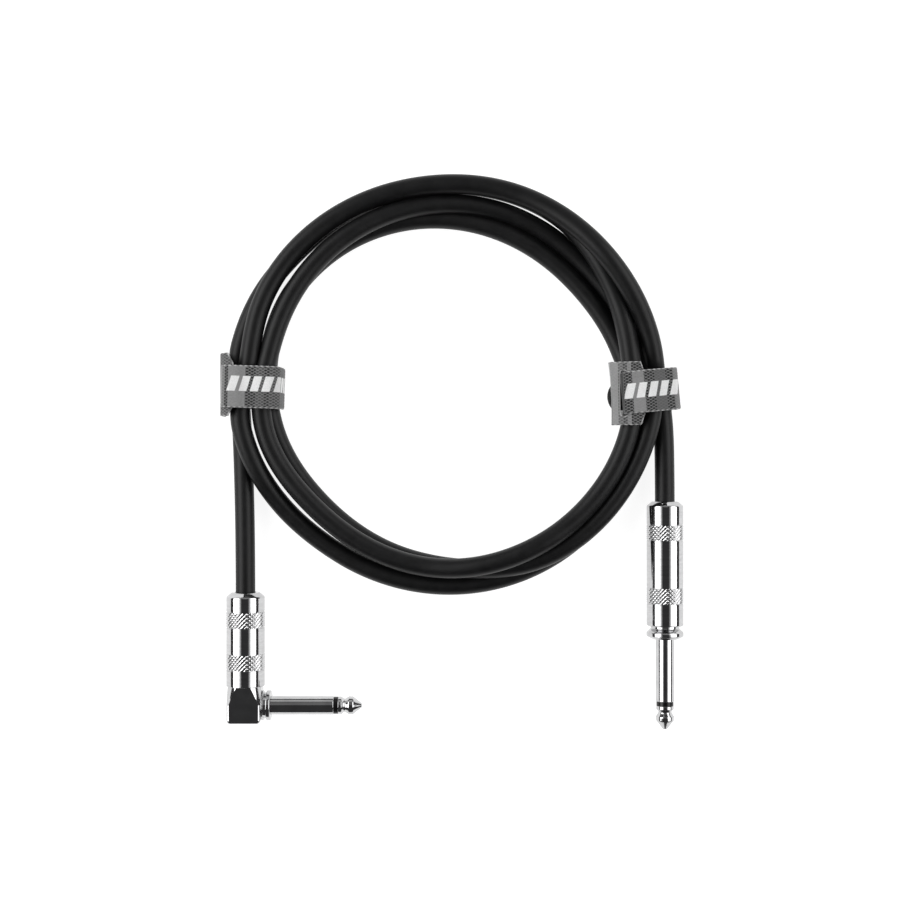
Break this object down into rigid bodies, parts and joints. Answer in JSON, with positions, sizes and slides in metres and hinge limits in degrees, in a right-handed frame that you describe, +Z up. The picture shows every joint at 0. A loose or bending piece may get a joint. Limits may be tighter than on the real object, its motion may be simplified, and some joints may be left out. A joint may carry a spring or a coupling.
{
  "type": "instrument cable",
  "caption": "Coiled black instrument cable with a straight and a right-angle 6.35 mm mono plug, held in its coil by woven hook-and-loop cable ties.",
  "frame": {"origin": "middle of the footprint of the plugs and ties, on the surface that the cable lies on", "axes": "+Z up; the straight plug's contact points along -Y, the right-angle plug's along +X"},
  "size_m": [0.16, 0.1924, 0.0184],
  "materials": {
    "cord_jacket": "satin black",
    "handle_nickel": "polished",
    "turned_nickel": "polished",
    "black_insulator": "moulded",
    "tinned_brass": "pressed",
    "core_insulation": "smooth",
    "copper_screen": "twisted wire",
    "solder": "soldered",
    "liner_plastic": "rolled sheet",
    "tie_webbing": "woven twill",
    "tie_hook": "hook tape"
  },
  "bodies": {
    "cable": {"straight_sleeve": "turned_nickel", "straight_tip": "turned_nickel", "straight_tip_ring": "black_insulator", "straight_rod_tube": "black_insulator", "straight_rear_washer": "black_insulator", "straight_tip_lug": "tinned_brass", "straight_earth_lug": "tinned_brass", "straight_core": "core_insulation", "straight_screen_tail": "copper_screen", "straight_core_solder": "solder", "straight_screen_solder": "solder", "angle_sleeve": "turned_nickel", "angle_tip": "turned_nickel", "angle_tip_ring": "black_insulator", "angle_rod_tube": "black_insulator", "angle_bore_cap": "turned_nickel", "angle_link_rod": "turned_nickel", "angle_rear_washer": "black_insulator", "angle_tip_lug": "tinned_brass", "angle_earth_lug": "tinned_brass", "angle_core": "core_insulation", "angle_screen_tail": "copper_screen", "angle_core_solder": "solder", "angle_screen_solder": "solder", "angle_housing": "turned_nickel", "left_tie_band": "tie_webbing", "right_tie_band": "tie_webbing", "cord_coil": "cord_jacket", "cord_lead_straight": "cord_jacket", "cord_lead_angle": "cord_jacket"},
    "straight_liner_body": {"straight_liner": "liner_plastic"},
    "straight_handle_body": {"straight_handle": "handle_nickel"},
    "angle_liner_body": {"angle_liner": "liner_plastic"},
    "angle_handle_body": {"angle_handle": "handle_nickel"},
    "left_tail_body": {"left_tie_tail": "tie_webbing", "left_tie_hook_pad": "tie_hook"},
    "right_tail_body": {"right_tie_tail": "tie_webbing", "right_tie_hook_pad": "tie_hook"}
  },
  "joints": [
    {"name": "straight_handle_slide", "type": "slide", "parent": "cable", "child": "straight_liner_body", "axis": [0, 1, 0], "range_m": [0, 0.005]},
    {"name": "straight_handle_turn", "type": "hinge", "parent": "straight_liner_body", "child": "straight_handle_body", "pos_m": [0.0736, -0.0289, 0.0064], "axis": [0, 1, 0], "range_deg": [0, 1980]},
    {"name": "angle_handle_slide", "type": "slide", "parent": "cable", "child": "angle_liner_body", "axis": [0, 1, 0], "range_m": [0, 0.005]},
    {"name": "angle_handle_turn", "type": "hinge", "parent": "angle_liner_body", "child": "angle_handle_body", "pos_m": [-0.07195, -0.0497, 0.00665], "axis": [0, 1, 0], "range_deg": [0, 1980]},
    {"name": "left_tail_peel", "type": "hinge", "parent": "cable", "child": "left_tail_body", "pos_m": [-0.05853, 0.05405, 0.0129], "axis": [0, -1, 0], "range_deg": [0, 100]},
    {"name": "right_tail_peel", "type": "hinge", "parent": "cable", "child": "right_tail_body", "pos_m": [0.07673, 0.05318, 0.0129], "axis": [0.0958, -0.9954, 0], "range_deg": [0, 100]}
  ],
  "couplings": [
    {"joint": "straight_handle_slide", "follows": "straight_handle_turn", "m_per_rad": 0.00014324},
    {"joint": "angle_handle_slide", "follows": "angle_handle_turn", "m_per_rad": 0.00014324}
  ]
}
